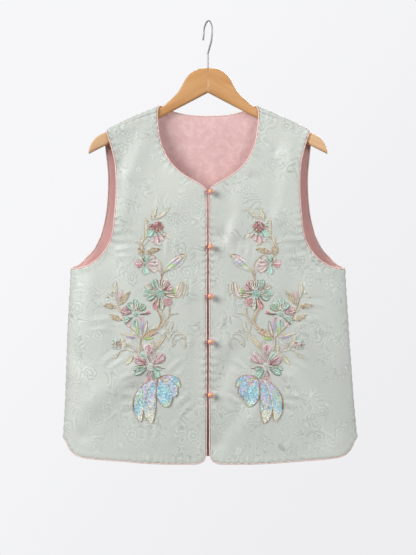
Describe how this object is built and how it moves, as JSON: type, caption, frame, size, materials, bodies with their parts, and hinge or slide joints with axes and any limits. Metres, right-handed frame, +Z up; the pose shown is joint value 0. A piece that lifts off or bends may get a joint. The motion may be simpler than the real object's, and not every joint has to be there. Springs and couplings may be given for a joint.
{
  "type": "embroidered waistcoat on a clothes hanger",
  "caption": "Sleeveless lined silk waistcoat with floral embroidery, piped edges and ball buttons, hanging on a contoured wooden hanger.",
  "frame": {"origin": "inside of the hook's crown, where a rail carries the hanger", "axes": "+Z up, +X to the wearer's left, -Y out of the fronts"},
  "size_m": [0.5525, 0.0875, 0.8318],
  "materials": {
    "silk": "satin sheen, tone-on-tone jacquard",
    "lining": "soft satin",
    "piping": "satin cord",
    "button": "gloss bead",
    "button_heart": "gloss bead",
    "thread": "silk embroidery thread",
    "bead": "gloss seed and bugle beads",
    "sequin": "iridescent sequins",
    "wood": "clear satin lacquer on beech",
    "hook_steel": "polished steel wire"
  },
  "bodies": {
    "root": {"front_right": "silk", "front_left": "silk", "back": "silk", "lining_front_right": "lining", "lining_front_left": "lining", "lining_back": "lining", "piping_front_right": "piping", "piping_front_left": "piping", "piping_back_neck": "piping", "piping_back_hem": "piping", "piping_armhole_right": "piping", "piping_armhole_left": "piping", "button_1": "button", "button_2": "button", "button_3": "button", "button_4": "button", "button_5": "button", "button_heart_1": "button_heart", "button_heart_2": "button_heart", "button_heart_3": "button_heart", "button_heart_4": "button_heart", "button_heart_5": "button_heart", "button_loop_1": "piping", "button_loop_2": "piping", "button_loop_3": "piping", "button_loop_4": "piping", "button_loop_5": "piping", "hanger_left": "wood", "hanger_right": "wood", "hanger_hook": "hook_steel"}
  },
  "joints": []
}
